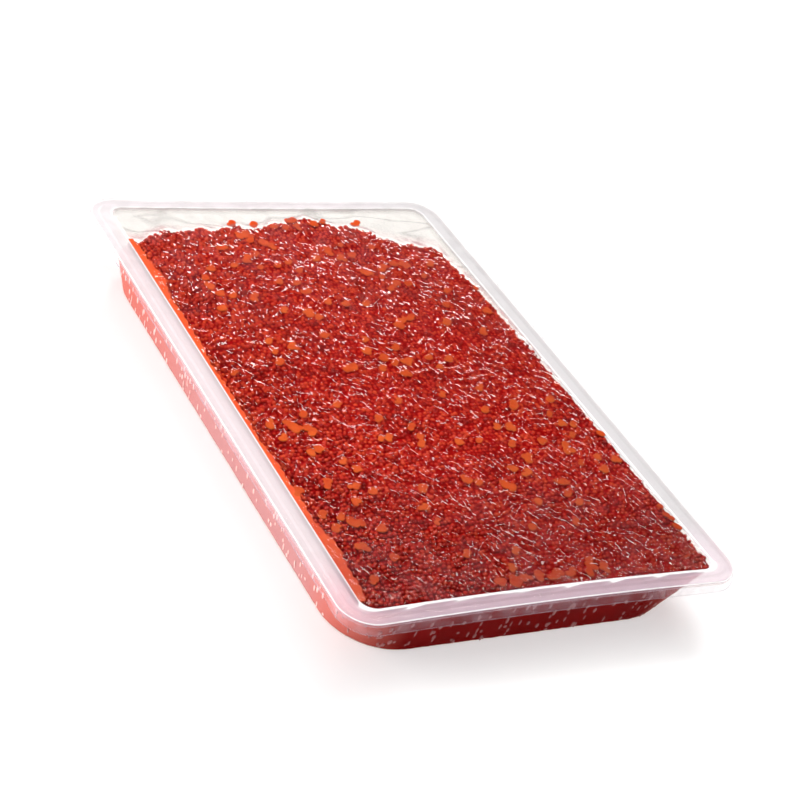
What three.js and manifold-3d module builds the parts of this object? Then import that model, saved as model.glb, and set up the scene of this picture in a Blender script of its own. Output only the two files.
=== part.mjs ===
// A sealed rectangular tray of red seaweed caviar: a thin tray with a wide flat rim,
// the pressed mass of small pearls that fills it, and the clear film sealed over the rim.
// Millimetres, +Z up. The origin lies under the tray's middle, on its underside.
// +X runs along the tray to the full end, where the pearls have slid against the end wall.
import * as THREE from 'three';
import { mergeVertices } from 'three/addons/utils/BufferGeometryUtils.js';
import Module from 'manifold-3d';

const wasm = await Module();
wasm.setup();

// Driving dimensions of the tray
const RIM_LENGTH = 207.2;
const RIM_WIDTH = 133.7;
const TRAY_HEIGHT = 21.3;
const WALL = 0.8;
const RIM_CORNER = 10.5;
const MOUTH_CORNER = 4.5;
const BASE_CORNER = 19;
const BASE_FILLET = 1.2;
const RIM_SIDE_WIDTH = 7.4;
const RIM_END_WIDTH = 6;
const BASE_INSET = 9.5;
const LIP_WIDTH = 2.5;
const LIP_STEP = 0.4;
const LIP_DEPTH = 1.1;

// The film's pull bends the short ends inwards: most at the rim, none at the base
const FULL_END_BOW = 1.5;
const EMPTY_END_BOW = 0.8;

// The film: sealed flat on the rim, cut a little larger and folded down as a short skirt
const FILM_THICKNESS = 0.3;
const FILM_GAP = 0.2;
const FILM_OVERHANG = 0.15;
const SKIRT_DROP = 3.7;
const SKIRT_FLARE = 0.5;

// The caviar: filled up to the film, with a gap to the tray, and slumped off the empty end
const FIT_GAP = 0.3;
const FILL_LEVEL = TRAY_HEIGHT - 0.1;
const PEARL_SPACING = 3.1;
const PEARL_RELIEF = 0.75;
const PEARL_UNEVENNESS = 0.3;
const FOOT_OF_SLOPE = 3;
const SIDE_STRIP_SLOPE = 2.4;
const PRESSED_PATCHES = 90;
const PATCH_RADIUS = 3.4;

// Gap between the film's far mouth edge and the crest of the caviar, at places across the tray
const CREST_STATIONS = [
  { y: -62, gap: 20 },
  { y: -40, gap: 12.5 },
  { y: -10, gap: 10.5 },
  { y: 9, gap: 5.5 },
  { y: 27, gap: 11.5 },
  { y: 43, gap: 22 },
  { y: 62, gap: 28 },
];

// Gap between the caviar and the side wall, along the tray, on the side that slumped
const STRIP_STATIONS = [
  { x: -100, gap: 9 },
  { x: -70, gap: 5 },
  { x: -45, gap: 2.2 },
  { x: 0, gap: 0.6 },
  { x: 20, gap: 0 },
  { x: 100, gap: 0 },
];

// Smoothness of the outlines, and the size below which slivers left by a cut are closed
const CORNER_STEPS = 6;
const END_STEPS = 6;
const FILLET_STEPS = 3;
const SLIVER = 0.05;

const halfLength = RIM_LENGTH / 2;
const halfWidth = RIM_WIDTH / 2;

// A repeatable random number generator
function randomSource(seed) {
  let state = seed;
  return () => {
    state = (state * 1664525 + 1013904223) % 4294967296;
    return state / 4294967296;
  };
}

// The inward bend of the short ends, growing with the height above the base
function bendEnds(point) {
  const across = 1 - (point.y / halfWidth) ** 2;
  const up = THREE.MathUtils.clamp(point.z / TRAY_HEIGHT, 0, 1);
  const bow = point.x > 0 ? FULL_END_BOW : EMPTY_END_BOW;
  point.x *= 1 - (bow / halfLength) * across * up;
  return point;
}

// One closed ring: a rounded rectangle at a height, inset from the rim's outer edge
function ring({ side, end, corner, z }) {
  const x = halfLength - end;
  const y = halfWidth - side;
  const quarter = Math.PI / 2;
  const centres = [
    [x - corner, y - corner],
    [corner - x, y - corner],
    [corner - x, corner - y],
    [x - corner, corner - y],
  ];
  const points = [];
  centres.forEach(([cx, cy], index) => {
    for (let step = 0; step <= CORNER_STEPS; step += 1) {
      const angle = quarter * (index + step / CORNER_STEPS);
      points.push([cx + corner * Math.cos(angle), cy + corner * Math.sin(angle)]);
    }
    if (index % 2 === 1) {
      const [startX, startY] = points[points.length - 1];
      for (let step = 1; step < END_STEPS; step += 1) {
        points.push([startX, startY * (1 - (2 * step) / END_STEPS)]);
      }
    }
  });
  return points.map(([px, py]) => bendEnds(new THREE.Vector3(px, py, z)));
}

// A closed solid from stacked rings, its first and last ring filled by flat faces
function stackRings(rows) {
  const positions = [];
  const faces = [];
  const rings = rows.map(ring);
  const count = rings[0].length;
  rings.flat().forEach((point) => positions.push(...point.toArray()));
  for (let level = 0; level + 1 < rings.length; level += 1) {
    for (let index = 0; index < count; index += 1) {
      const next = (index + 1) % count;
      const a = level * count + index;
      const b = level * count + next;
      faces.push(a, b, b + count, a, b + count, a + count);
    }
  }
  const capCentre = (level) => {
    positions.push(0, 0, rows[level].z);
    return positions.length / 3 - 1;
  };
  const first = capCentre(0);
  const last = capCentre(rows.length - 1);
  const top = (rows.length - 1) * count;
  for (let index = 0; index < count; index += 1) {
    const next = (index + 1) % count;
    faces.push(first, next, index, last, top + index, top + next);
  }
  const geometry = new THREE.BufferGeometry();
  geometry.setAttribute('position', new THREE.Float32BufferAttribute(positions, 3));
  geometry.setIndex(faces);
  return geometry;
}

// Conversions for cutting one closed solid with another
function toManifold(geometry) {
  const merged = mergeVertices(geometry, 1e-4);
  return new wasm.Manifold(new wasm.Mesh({
    numProp: 3,
    vertProperties: new Float32Array(merged.attributes.position.array),
    triVerts: new Uint32Array(merged.index.array),
  }));
}

function toGeometry(manifold) {
  const mesh = manifold.getMesh();
  const geometry = new THREE.BufferGeometry();
  geometry.setAttribute('position', new THREE.Float32BufferAttribute(mesh.vertProperties, 3));
  geometry.setIndex(Array.from(mesh.triVerts));
  return geometry;
}

// The tray wall's line from the mouth down to the base, moved inwards by a distance
function wallRow(z, inwards) {
  const down = THREE.MathUtils.clamp((TRAY_HEIGHT - z) / TRAY_HEIGHT, 0, 1);
  return {
    side: THREE.MathUtils.lerp(RIM_SIDE_WIDTH, BASE_INSET + WALL, down) + inwards,
    end: THREE.MathUtils.lerp(RIM_END_WIDTH, BASE_INSET + WALL, down) + inwards,
    corner: THREE.MathUtils.lerp(MOUTH_CORNER, BASE_CORNER, down) - inwards,
    z,
  };
}

// The rounded edge between wall and base, from the wall round to the flat floor
function baseFillet(floor, radius, inwards) {
  const rows = [];
  for (let step = 0; step <= FILLET_STEPS; step += 1) {
    const angle = (Math.PI / 2) * (step / FILLET_STEPS);
    const shift = radius * (1 - Math.cos(angle));
    const z = floor + radius * (1 - Math.sin(angle));
    const row = wallRow(floor + radius, inwards);
    rows.push({ side: row.side + shift, end: row.end + shift, corner: row.corner - shift, z });
  }
  return rows;
}

function rimRow(inset, z) {
  return { side: inset, end: inset, corner: RIM_CORNER - inset, z };
}

function makeTray() {
  const underRim = TRAY_HEIGHT - WALL;
  const neckFillet = 0.8;
  const outside = [
    ...baseFillet(0, BASE_FILLET, -WALL).reverse(),
    wallRow(underRim - neckFillet, -WALL),
    wallRow(underRim, -WALL - neckFillet),
  ];
  const rim = [
    rimRow(WALL, underRim),
    rimRow(WALL, TRAY_HEIGHT - LIP_STEP - LIP_DEPTH),
    rimRow(0, TRAY_HEIGHT - LIP_STEP - LIP_DEPTH),
    rimRow(0, TRAY_HEIGHT - LIP_STEP - 0.35),
    rimRow(0.35, TRAY_HEIGHT - LIP_STEP),
    rimRow(LIP_WIDTH, TRAY_HEIGHT - LIP_STEP),
    rimRow(LIP_WIDTH + LIP_STEP, TRAY_HEIGHT),
  ];
  const mouthRound = 0.6;
  const inside = [
    { ...wallRow(TRAY_HEIGHT, -mouthRound), z: TRAY_HEIGHT },
    { ...wallRow(TRAY_HEIGHT, -0.2 * mouthRound), z: TRAY_HEIGHT - 0.25 * mouthRound },
    wallRow(TRAY_HEIGHT - mouthRound, 0),
    wallRow(TRAY_HEIGHT / 2, 0),
    ...baseFillet(WALL, BASE_FILLET - WALL, 0),
  ];
  return stackRings([...outside, ...rim, ...inside]);
}

function makeFilm() {
  const under = TRAY_HEIGHT + FILM_GAP;
  const edge = -FILM_OVERHANG;
  const skirt = edge - SKIRT_FLARE;
  const hem = TRAY_HEIGHT - SKIRT_DROP;
  return stackRings([
    rimRow(RIM_END_WIDTH, under),
    rimRow(0.4, under),
    rimRow(edge, under - 0.4),
    rimRow(edge - 0.2 * SKIRT_FLARE, under - 0.45 * SKIRT_DROP),
    rimRow(skirt, hem),
    rimRow(skirt - FILM_THICKNESS, hem),
    rimRow(edge - 0.2 * SKIRT_FLARE - FILM_THICKNESS, under - 0.45 * SKIRT_DROP),
    rimRow(edge - FILM_THICKNESS, under - 0.4),
    rimRow(0.2, under + FILM_THICKNESS),
    rimRow(RIM_END_WIDTH, under + FILM_THICKNESS),
  ]);
}

// A smooth value between stations given by place
function between(stations, key, place) {
  const last = stations.length - 1;
  if (place <= stations[0][key]) {
    return stations[0].gap;
  }
  if (place >= stations[last][key]) {
    return stations[last].gap;
  }
  const index = stations.findIndex((station) => station[key] > place) - 1;
  const from = stations[index];
  const to = stations[index + 1];
  const part = THREE.MathUtils.smoothstep(place, from[key], to[key]);
  return THREE.MathUtils.lerp(from.gap, to.gap, part);
}

// How far the surface lies below the film: nothing on the filled part, more down the slopes
function slump(x, y) {
  const fromEmptyEnd = x + halfLength - RIM_END_WIDTH;
  const crest = between(CREST_STATIONS, 'y', y);
  const downEnd = THREE.MathUtils.clamp((crest - fromEmptyEnd) / crest, 0, 1);
  const fromSide = halfWidth - RIM_SIDE_WIDTH - y;
  const strip = between(STRIP_STATIONS, 'x', x);
  const downSide = Math.max(strip - fromSide, 0);
  const endDrop = (FILL_LEVEL - FOOT_OF_SLOPE) * downEnd ** 0.85;
  return Math.min(Math.max(endDrop, downSide * SIDE_STRIP_SLOPE), FILL_LEVEL - FOOT_OF_SLOPE);
}

// The bumpy slab: every second grid point is a pearl's top, the others lie between pearls
function makePearlSlab() {
  const random = randomSource(7);
  const grid = PEARL_SPACING / Math.SQRT2;
  const columns = Math.ceil((RIM_LENGTH - 2 * RIM_END_WIDTH + 4) / grid);
  const rows = Math.ceil((RIM_WIDTH - 2 * RIM_SIDE_WIDTH + 4) / grid);
  const startX = (-columns * grid) / 2;
  const startY = (-rows * grid) / 2;
  const patches = Array.from({ length: PRESSED_PATCHES }, () => ({
    x: (random() - 0.5) * columns * grid,
    y: (random() - 0.5) * rows * grid,
    radius: PATCH_RADIUS * (0.5 + 0.5 * random()),
  }));
  const pressed = (x, y) => patches.some((patch) => Math.hypot(x - patch.x, y - patch.y) < patch.radius);
  const positions = [];
  const faces = [];
  const at = (i, j) => i * (rows + 1) + j;
  for (let i = 0; i <= columns; i += 1) {
    for (let j = 0; j <= rows; j += 1) {
      const inner = i > 0 && i < columns && j > 0 && j < rows;
      const x = startX + i * grid + (inner ? (random() - 0.5) * 0.5 * grid : 0);
      const y = startY + j * grid + (inner ? (random() - 0.5) * 0.5 * grid : 0);
      const isPearl = (i + j) % 2 === 0;
      const valley = isPearl || pressed(x, y) ? 0 : PEARL_RELIEF;
      const uneven = pressed(x, y) ? 0 : PEARL_UNEVENNESS * random();
      positions.push(x, y, FILL_LEVEL - slump(x, y) - valley - uneven);
    }
  }
  for (let i = 0; i < columns; i += 1) {
    for (let j = 0; j < rows; j += 1) {
      const a = at(i, j);
      const b = at(i + 1, j);
      const c = at(i + 1, j + 1);
      const d = at(i, j + 1);
      if ((i + j) % 2 === 0) {
        faces.push(a, b, d, b, c, d);
      } else {
        faces.push(a, b, c, a, c, d);
      }
    }
  }
  const under = positions.length / 3;
  const edge = [];
  for (let i = 0; i < columns; i += 1) edge.push(at(i, 0));
  for (let j = 0; j < rows; j += 1) edge.push(at(columns, j));
  for (let i = columns; i > 0; i -= 1) edge.push(at(i, rows));
  for (let j = rows; j > 0; j -= 1) edge.push(at(0, j));
  edge.forEach((index) => positions.push(positions[3 * index], positions[3 * index + 1], -1));
  positions.push(0, 0, -1);
  const centre = positions.length / 3 - 1;
  edge.forEach((index, place) => {
    const next = (place + 1) % edge.length;
    const low = under + place;
    const lowNext = under + next;
    faces.push(index, low, lowNext, index, lowNext, edge[next], low, centre, lowNext);
  });
  const geometry = new THREE.BufferGeometry();
  geometry.setAttribute('position', new THREE.Float32BufferAttribute(positions, 3));
  geometry.setIndex(faces);
  return geometry;
}

// The space inside the tray that the caviar may fill
function makeTrayHollow() {
  const floor = WALL + FIT_GAP;
  return stackRings([
    ...baseFillet(floor, BASE_FILLET - WALL, FIT_GAP).reverse(),
    wallRow(TRAY_HEIGHT / 2, FIT_GAP),
    wallRow(TRAY_HEIGHT, FIT_GAP),
    { ...wallRow(TRAY_HEIGHT, FIT_GAP), z: TRAY_HEIGHT + 1 },
  ]);
}

function makeCaviar() {
  const hollow = toManifold(makeTrayHollow());
  const slab = toManifold(makePearlSlab());
  return toGeometry(hollow.intersect(slab).simplify(SLIVER));
}

function addPart(group, name, geometry, material) {
  const mesh = new THREE.Mesh(geometry, material);
  mesh.name = name;
  group.add(mesh);
}

const pack = new THREE.Group();
addPart(pack, 'tray', makeTray(), new THREE.MeshStandardMaterial({
  color: 0xe4dfe6, roughness: 0.3, metalness: 0, transparent: true, opacity: 0.5,
}));
addPart(pack, 'caviar', makeCaviar(), new THREE.MeshStandardMaterial({
  color: 0xa81c12, roughness: 0.25, metalness: 0,
}));
addPart(pack, 'film', makeFilm(), new THREE.MeshStandardMaterial({
  color: 0xf2eff4, roughness: 0.08, metalness: 0, transparent: true, opacity: 0.25,
}));

export default pack;
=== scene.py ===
# %% [markdown]
# # A sealed tray of seaweed caviar
#
# The object is a shallow tray of thin milky plastic, filled with red seaweed pearls of under two
# millimetres and closed by a clear film that clings to them. This lesson dresses the plain solids
# of the frame: it keeps their sizes, and makes the fine surfaces that a reader would notice first.
# Blender's unit is the metre, so most sizes are written as a number times `MM`.

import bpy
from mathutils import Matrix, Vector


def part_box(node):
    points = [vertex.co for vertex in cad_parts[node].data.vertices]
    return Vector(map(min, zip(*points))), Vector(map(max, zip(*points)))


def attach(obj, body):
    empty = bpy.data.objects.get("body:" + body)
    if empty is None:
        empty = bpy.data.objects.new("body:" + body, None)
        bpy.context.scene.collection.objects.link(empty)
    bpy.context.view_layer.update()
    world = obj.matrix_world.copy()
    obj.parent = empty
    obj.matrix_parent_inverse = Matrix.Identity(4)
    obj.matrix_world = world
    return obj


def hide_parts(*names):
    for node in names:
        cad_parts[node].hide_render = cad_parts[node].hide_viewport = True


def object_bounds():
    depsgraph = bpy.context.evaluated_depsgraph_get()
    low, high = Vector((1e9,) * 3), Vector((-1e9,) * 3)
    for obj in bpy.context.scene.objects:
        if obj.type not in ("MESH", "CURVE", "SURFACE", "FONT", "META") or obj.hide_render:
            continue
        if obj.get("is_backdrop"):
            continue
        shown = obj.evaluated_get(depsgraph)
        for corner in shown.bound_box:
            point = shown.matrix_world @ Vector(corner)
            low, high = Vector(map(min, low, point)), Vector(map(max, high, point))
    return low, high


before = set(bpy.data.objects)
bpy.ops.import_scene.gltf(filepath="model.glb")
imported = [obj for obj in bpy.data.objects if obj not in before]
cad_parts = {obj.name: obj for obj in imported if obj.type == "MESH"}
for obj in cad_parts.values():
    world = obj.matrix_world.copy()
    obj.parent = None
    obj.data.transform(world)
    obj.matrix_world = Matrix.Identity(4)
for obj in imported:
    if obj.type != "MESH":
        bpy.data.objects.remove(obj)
cad_low, cad_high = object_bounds()
print("solids in the frame:", sorted(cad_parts))

# %% Tools used below
import math

import bpy
import numpy as np
from mathutils import Matrix, Vector
from mathutils.kdtree import KDTree

MM = 0.001
SEED = 23
BODY = "root"
random = np.random.RandomState(SEED)
tray_low, tray_high = (np.array(corner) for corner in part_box("tray"))
print("tray, in mm:", np.round((tray_high - tray_low) / MM, 1))


def put(name, data):
    """A new object in the scene, which shows a camera, a lamp or a mesh."""
    thing = bpy.data.objects.new(name, data)
    bpy.context.collection.objects.link(thing)
    return thing


def object_from(name, points, faces, crease=None):
    """An object with smooth faces. Edges bent by more than the crease angle stay sharp."""
    mesh = bpy.data.meshes.new(name)
    mesh.from_pydata([tuple(p) for p in points], [], [tuple(int(i) for i in f) for f in faces])
    mesh.validate()
    mesh.shade_smooth()
    if crease:
        mesh.set_sharp_from_angle(angle=math.radians(crease))
    return put(name, mesh)


def mark(thing, **marks):
    """Writes a number to each point of a mesh, for its finish or for a tree to read."""
    for label, values in marks.items():
        made = thing.data.attributes.new(label, "FLOAT", "POINT")
        made.data.foreach_set("value", np.asarray(values, dtype=np.float32))


def faces_of(thing):
    return len(thing.data.polygons)


# %% [markdown]
# ## The camera and the light
#
# The photograph was taken from above one corner of the tray, with a long lens and the camera
# turned on its side by about twenty degrees. The place and the turn below come from fitting the
# rim's outline. The lens is given for Blender's usual 36 mm sensor and a square image.

# %% Place the camera
CAMERA_PLACE = Vector((402.9, -312.6, 335.8)) * MM
CAMERA_RIGHT = Vector((0.44224, 0.85101, 0.28320))
CAMERA_UP = Vector((-0.60227, 0.04779, 0.79686))
LENS_MM = 87.2
SENSOR_MM = 36

camera_data = bpy.data.cameras.new("photo_camera")
camera_data.lens = LENS_MM
camera_data.sensor_width = SENSOR_MM
camera_data.clip_start = 10 * MM
camera = put("photo_camera", camera_data)
camera_back = CAMERA_RIGHT.cross(CAMERA_UP)
turn = Matrix((CAMERA_RIGHT, CAMERA_UP, camera_back)).transposed().to_4x4()
camera.matrix_world = Matrix.Translation(CAMERA_PLACE) @ turn
bpy.context.scene.camera = camera
print("camera elevation, degrees:", round(math.degrees(math.asin(camera_back.z)), 1))

# %% [markdown]
# A product photograph like this one is lit by large soft boxes. Here a broad lamp hangs over the
# tray's far side, so that its reflection glints on the wrinkled film towards the camera. A second
# lamp stands at the left to light the long wall, a third hangs overhead, where the film doesn't
# mirror it, and a pale world fills the shadows.

# %% Hang the soft boxes
def soft_box(name, place, size, power):
    """A rectangular lamp that faces the middle of the tray."""
    lamp = bpy.data.lights.new(name, "AREA")
    lamp.shape = "RECTANGLE"
    lamp.size, lamp.size_y = size
    lamp.energy = power
    holder = put(name, lamp)
    holder.location = place
    holder.rotation_mode = "QUATERNION"
    holder.rotation_quaternion = (-Vector(place)).to_track_quat("-Z", "Y")


soft_box("box_over_far_side", (-0.35, 0.32, 0.90), (0.54, 0.3), 9.0)
soft_box("box_at_left", (-0.22, -0.95, 0.32), (1.1, 0.5), 9.5)
soft_box("box_overhead", (0.15, -0.35, 1.15), (0.6, 0.6), 4.0)

# %% [markdown]
# ## Small helpers for materials
#
# Every finish is a node tree built by hand. These helpers add a node, set its sockets and join it
# to others in one line. Each of them takes either a plain number or the socket of another node.

# %% Node helpers
def new_material(name):
    material = bpy.data.materials.new(name)
    material.use_nodes = True
    material.node_tree.nodes.clear()
    return material, material.node_tree


def connect(tree, socket, value):
    """Joins a socket to another one, or sets its number."""
    if isinstance(value, bpy.types.NodeSocket):
        tree.links.new(value, socket)
    else:
        socket.default_value = value


def add_node(tree, kind, settings=None, **inputs):
    node = tree.nodes.new(kind)
    for key, value in (settings or {}).items():
        setattr(node, key, value)
    for key, value in inputs.items():
        label = key.replace("_", " ")
        connect(tree, next(s for s in node.inputs if s.name == label and s.enabled), value)
    return node


def maths(tree, operation, first, second=0.5):
    node = add_node(tree, "ShaderNodeMath", {"operation": operation})
    connect(tree, node.inputs[0], first)
    connect(tree, node.inputs[1], second)
    return node.outputs[0]


def times(tree, product, *others):
    for other in others:
        product = maths(tree, "MULTIPLY", product, other)
    return product


def spread(tree, value, low, high, to_low=0.0, to_high=1.0):
    """A smooth step from to_low, where the value is low, to to_high, where it is high."""
    settings = {"interpolation_type": "SMOOTHSTEP"}
    node = add_node(
        tree, "ShaderNodeMapRange", settings, Value=value, From_Min=low, From_Max=high,
        To_Min=to_low, To_Max=to_high,
    )
    return node.outputs[0]


def mix_colours(tree, share, first, second):
    node = add_node(tree, "ShaderNodeMix", {"data_type": "RGBA"})
    connect(tree, node.inputs[0], share)
    for socket, colour in ((node.inputs[6], first), (node.inputs[7], second)):
        connect(tree, socket, (*colour, 1) if isinstance(colour, tuple) else colour)
    return node.outputs[2]


def place_of(tree):
    return add_node(tree, "ShaderNodeTexCoord").outputs["Object"]


def along(tree, axis):
    """How far a point lies along one axis."""
    return add_node(tree, "ShaderNodeSeparateXYZ", Vector=place_of(tree)).outputs[axis]


def cloud(tree, size, detail=2.0, roughness=0.5, place=None):
    """Soft noise whose lumps have about the given size."""
    noise = add_node(
        tree, "ShaderNodeTexNoise", Vector=place or place_of(tree), Scale=1 / size,
        Detail=detail, Roughness=roughness,
    )
    return noise.outputs["Fac"]


def finish(material, shader):
    """Makes a shader the surface of its material."""
    add_node(material.node_tree, "ShaderNodeOutputMaterial", Surface=shader.outputs[0])
    return material


# %% [markdown]
# ## The studio dome
#
# A flat film mirrors whatever stands opposite the camera. Photographers put a dark board there, so
# that the film doesn't turn grey. The world does the same: it is pale all round, but dim in the
# directions that the film mirrors and behind the tray's full end.

# %% The world
DOME_LIGHT = 0.55
BOARD_LIGHT = 0.03
FILM_MIRRORS = (-0.66, 0.51, 0.55)
NEAR_SIDE = (0.93, -0.1, 0.35)

world = bpy.data.worlds.new("studio")
world.use_nodes = True
world_tree = world.node_tree
world_tree.nodes.clear()
towards_us = add_node(world_tree, "ShaderNodeNewGeometry").outputs["Incoming"]
dome = None
for board, start, end in ((FILM_MIRRORS, -0.1, 0.6), (NEAR_SIDE, 0.3, 0.9)):
    facing = add_node(world_tree, "ShaderNodeVectorMath", {"operation": "DOT_PRODUCT"})
    connect(world_tree, facing.inputs[0], towards_us)
    connect(world_tree, facing.inputs[1], [-part for part in board])
    lit = spread(world_tree, facing.outputs["Value"], start, end, DOME_LIGHT, BOARD_LIGHT)
    dome = maths(world_tree, "MINIMUM", dome, lit) if dome else lit
dome_light = add_node(world_tree, "ShaderNodeBackground", Color=(1, 1, 1, 1), Strength=dome)
add_node(world_tree, "ShaderNodeOutputWorld", Surface=dome_light.outputs[0])
bpy.context.scene.world = world
bpy.context.scene.view_settings.view_transform = "Standard"
bpy.context.scene.cycles.transparent_max_bounces = 32

# %% [markdown]
# ## Lay down the floor
#
# The floor is a matt table that glows a little, which keeps the shadow pale. It is marked as
# stage, so it isn't part of the object.

# %% The floor
FLOOR_HALF = 3.0
TABLE_GLOW = 0.55
TABLE_WHITE = 0.55
turns = ((-1, -1), (1, -1), (1, 1), (-1, 1))
floor_corners = [(FLOOR_HALF * x, FLOOR_HALF * y, 0) for x, y in turns]
floor = object_from("studio_floor", floor_corners, [(0, 1, 2, 3)])
floor_paint, floor_tree = new_material("pale_floor")
floor_shader = add_node(
    floor_tree,
    "ShaderNodeBsdfPrincipled",
    Base_Color=(TABLE_WHITE, TABLE_WHITE, TABLE_WHITE, 1),
    Roughness=0.6,
    Emission_Color=(1, 1, 1, 1),
    Emission_Strength=TABLE_GLOW,
)
floor.data.materials.append(finish(floor_paint, floor_shader))
floor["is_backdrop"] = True

# %% [markdown]
# ## The outline that everything follows
#
# Tray, pearls and film all follow one outline: a rectangle with rounded corners, inset by a
# different amount at each height. The film's pull has bent the two short ends slightly inwards at
# the rim. Writing that outline once as a function keeps the pieces in step with each other.

# %% Sizes of the tray
RIM_HALF = 103.6 * MM
RIM_HALF_WIDTH = tray_high[1]
TRAY_TOP = tray_high[2]
WALL = 0.8 * MM
RIM_CORNER = 10.5 * MM
MOUTH_CORNER = 4.5 * MM
BASE_CORNER = 19 * MM
BASE_FILLET = 1.2 * MM
RIM_SIDE = 7.4 * MM
RIM_END = 6 * MM
BASE_INSET = 9.5 * MM
FULL_END_BOW = 1.5 * MM
EMPTY_END_BOW = 0.8 * MM


def bend_ends(points):
    across = 1 - (points[:, 1] / RIM_HALF_WIDTH) ** 2
    up = np.clip(points[:, 2] / TRAY_TOP, 0, 1)
    bow = np.where(points[:, 0] > 0, FULL_END_BOW, EMPTY_END_BOW)
    points[:, 0] *= 1 - bow / RIM_HALF * across * up
    return points


def wall_line(z):
    """The inset of the inner wall at a height: on the sides, at the ends, and its corner."""
    down = np.clip((TRAY_TOP - z) / TRAY_TOP, 0, 1)
    side = RIM_SIDE + (BASE_INSET + WALL - RIM_SIDE) * down
    end = RIM_END + (BASE_INSET + WALL - RIM_END) * down
    corner = MOUTH_CORNER + (BASE_CORNER - MOUTH_CORNER) * down
    return side, end, corner


# %% Rings and stacks of rings
CORNER_STEPS = 16
SIDE_STEPS = 34
END_STEPS = 22


def ring(side, end, corner, z):
    x, y = RIM_HALF - end, RIM_HALF_WIDTH - side
    points = []
    for index, (sx, sy) in enumerate(((1, 1), (-1, 1), (-1, -1), (1, -1))):
        centre = np.array([sx * (x - corner), sy * (y - corner)])
        angles = math.pi / 2 * (index + np.arange(CORNER_STEPS + 1) / CORNER_STEPS)
        arc = centre + corner * np.stack([np.cos(angles), np.sin(angles)], 1)
        steps, mirrored = (END_STEPS, (1, -1)) if index % 2 else (SIDE_STEPS, (-1, 1))
        start, stop = arc[-1], arc[-1] * mirrored
        points.extend(arc)
        points.extend(start + (stop - start) * step / steps for step in range(1, steps))
    flat = np.array(points)
    return bend_ends(np.column_stack([flat, np.full(len(flat), z)]))


def band(lower, upper):
    """Faces between two closed rows of point numbers."""
    return np.stack([lower, np.roll(lower, -1), np.roll(upper, -1), upper], 1)


def wall_of(rings):
    """The points of stacked rings, and the faces between each ring and the next."""
    rows = np.arange(len(rings) * len(rings[0])).reshape(len(rings), -1)
    return np.concatenate(rings), np.concatenate([band(*pair) for pair in zip(rows, rows[1:])])


def stack_rings(rows):
    """Points and faces of stacked rings, closed by a fan at both ends."""
    points, faces = (list(part) for part in wall_of([ring(*row) for row in rows]))
    count = len(points) // len(rows)
    first, last, top = len(points), len(points) + 1, len(points) - count
    points += [(0, 0, rows[0][3]), (0, 0, rows[-1][3])]
    index = np.arange(count)
    for here, after in zip(index, np.roll(index, -1)):
        faces.append((first, after, here))
        faces.append((last, top + here, top + after))
    return np.array(points), faces, count


print("one ring has", len(ring(0, 0, RIM_CORNER, 0)), "points")

# %% [markdown]
# ## The milky tray
#
# The tray is one sheet of plastic, drawn down over a mould while hot. It is under a millimetre
# thick, so it is modelled as a closed shell: rings go up the outside, over the rim and down the
# inside. The rim has a lower lip round its edge and a flat land where the film is sealed. Folded
# edges of such plastic turn whiter, so each ring also carries a number of whiteness, which the
# finish reads. On the lip's edge and the mouth's rounding the highest numbers are painted glare,
# standing in for the light that these edges catch.

# %% Rows of the tray's section
LIP_WIDTH = 2.5 * MM
LIP_STEP = 0.4 * MM
LIP_DEPTH = 1.1 * MM
MOUTH_ROUND = 0.6 * MM
NECK_ROUND = 0.8 * MM
FILLET_STEPS = 6
LAND_WHITE = 0.7
LIP_WHITE = 0.12


def wall_row(z, inwards, white=0.0):
    side, end, corner = wall_line(z)
    return side + inwards, end + inwards, corner - inwards, z, white


def quarter(steps, radius):
    """Steps round a quarter circle: the part done, and the lengths left out by cosine and sine."""
    for step in range(steps + 1):
        angle = math.pi / 2 * step / steps
        yield step / steps, radius * (1 - math.cos(angle)), radius * (1 - math.sin(angle))


def base_rows(floor_z, radius, inwards):
    side, end, corner = wall_line(floor_z + radius)
    rows = []
    for _, across, up in quarter(FILLET_STEPS, radius):
        shift = inwards + across
        rows.append((side + shift, end + shift, corner - shift, floor_z + up, 0.0))
    return rows


def rim_rows(under_rim, lip_top, lip_low):
    """From the neck outwards, round the lip's edge and inwards over the land."""
    rows = (
        (4.0 * MM, under_rim, LAND_WHITE),
        (1.2 * MM, under_rim, LAND_WHITE),
        (WALL, under_rim - 0.2 * MM, LAND_WHITE),
        (WALL, lip_low, 0.3),
        (0.4 * MM, lip_low - 0.05 * MM, 0.5),
        (0.1 * MM, lip_low + 0.1 * MM, 0.5),
        (0, lip_low + 0.4 * MM, LIP_WHITE),
        (0, lip_top - 0.35 * MM, LIP_WHITE),
        # Painted glare: the rows marked 1.0 round the lip's edge stand in for light caught there.
        (0.1 * MM, lip_top - 0.1 * MM, 1.0),
        (0.35 * MM, lip_top, 1.0),
        (0.7 * MM, lip_top, LAND_WHITE),
        (LIP_WIDTH - 0.2 * MM, lip_top, LAND_WHITE),
        (LIP_WIDTH, lip_top + 0.05 * MM, LAND_WHITE),
        (LIP_WIDTH + LIP_STEP, TRAY_TOP - 0.05 * MM, LAND_WHITE),
        (LIP_WIDTH + LIP_STEP + 0.2 * MM, TRAY_TOP, LAND_WHITE),
    )
    return [(inset, inset, RIM_CORNER - inset, z, white) for inset, z, white in rows]


def mouth_rows():
    side, end, corner = wall_line(TRAY_TOP)
    rows = [
        (side - 2 * MM, end - 2 * MM, corner - 1 * MM, TRAY_TOP, LAND_WHITE),
        (side - 1.1 * MM, end - 1.1 * MM, corner - 0.3 * MM, TRAY_TOP, LAND_WHITE),
    ]
    for part, drop, back in quarter(4, MOUTH_ROUND):
        # Painted glare: the mouth's rounding is marked whitest at its top edge.
        white = 1.0 - 0.6 * part**2
        rows.append((side - back, end - back, corner + back, TRAY_TOP - drop, white))
    return rows


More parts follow.
